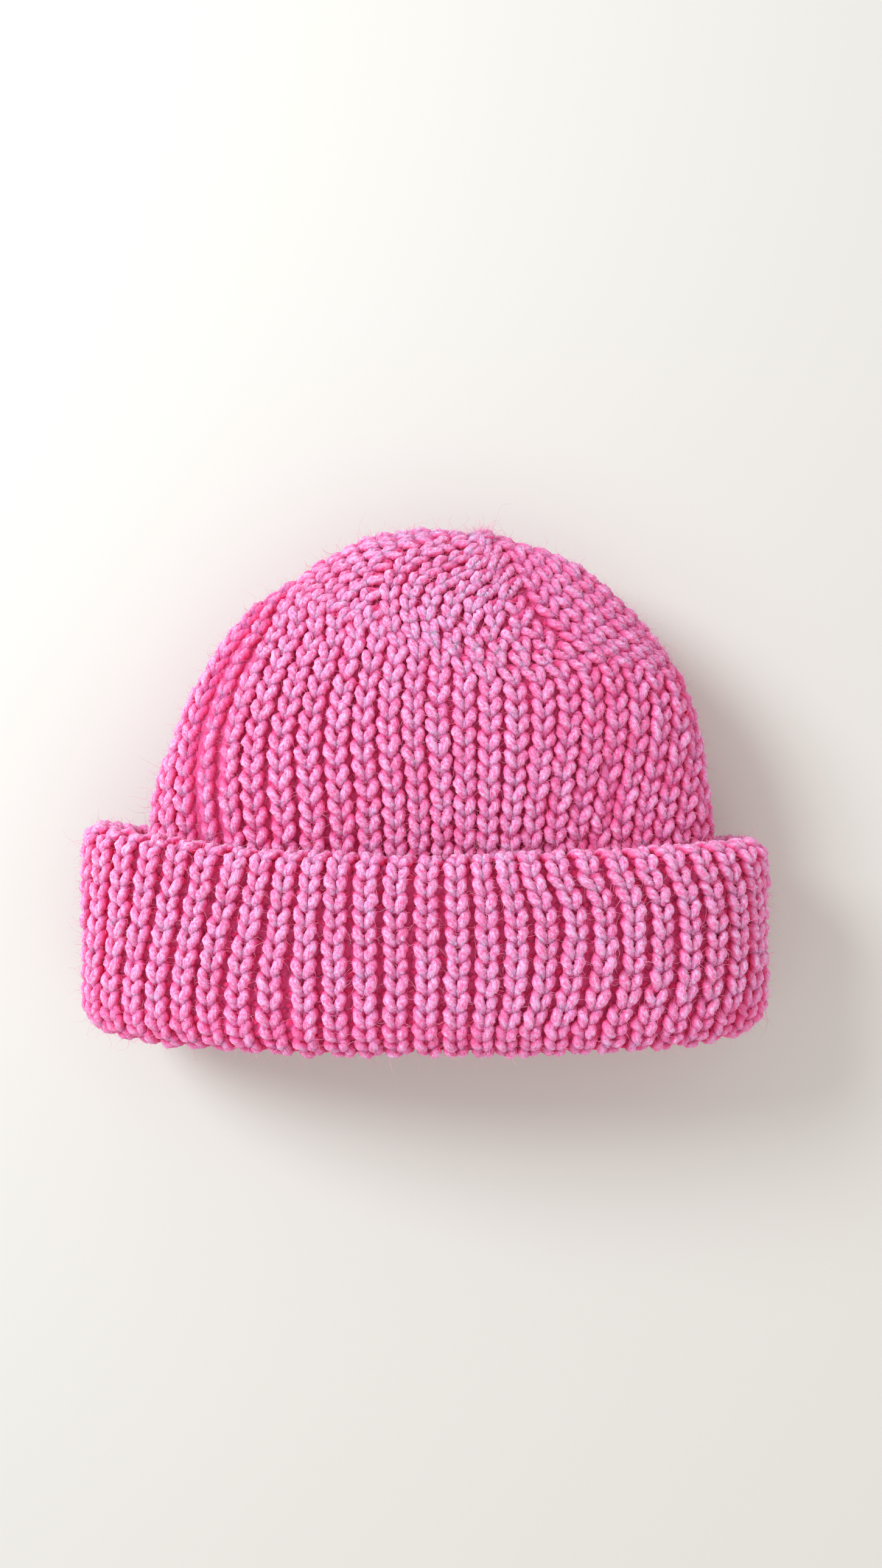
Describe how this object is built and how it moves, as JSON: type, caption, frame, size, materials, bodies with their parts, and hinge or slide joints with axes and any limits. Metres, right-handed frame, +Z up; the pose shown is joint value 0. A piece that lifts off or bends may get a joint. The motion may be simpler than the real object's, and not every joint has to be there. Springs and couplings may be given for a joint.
{
  "type": "knitted beanie",
  "caption": "Ribbed knitted beanie with a double turned-up brim and a rounded crown, lying on its side, open to take a head.",
  "frame": {"origin": "under the middle of the hat's bounding box, on the surface that the hat lies on", "axes": "+X across the hat, +Y from the head opening to the crown, +Z up from the surface"},
  "size_m": [0.226, 0.1724, 0.07],
  "materials": {
    "ribbed_wool": "matt, fuzzy thick yarn in bright pink",
    "draw_yarn": "matt, tightly pulled thick yarn in bright pink"
  },
  "bodies": {
    "root": {"cast_on_edge": "ribbed_wool", "brim_tucked_layer": "ribbed_wool", "brim_top_fold": "ribbed_wool", "brim_outer_layer": "ribbed_wool", "brim_bottom_fold": "ribbed_wool", "brim_inner_layer": "ribbed_wool", "hat_body": "ribbed_wool", "crown_wedge_1": "ribbed_wool", "crown_wedge_2": "ribbed_wool", "crown_wedge_3": "ribbed_wool", "crown_wedge_4": "ribbed_wool", "crown_wedge_5": "ribbed_wool", "crown_wedge_6": "ribbed_wool", "crown_gather": "ribbed_wool", "draw_in_yarn": "draw_yarn"}
  },
  "joints": []
}
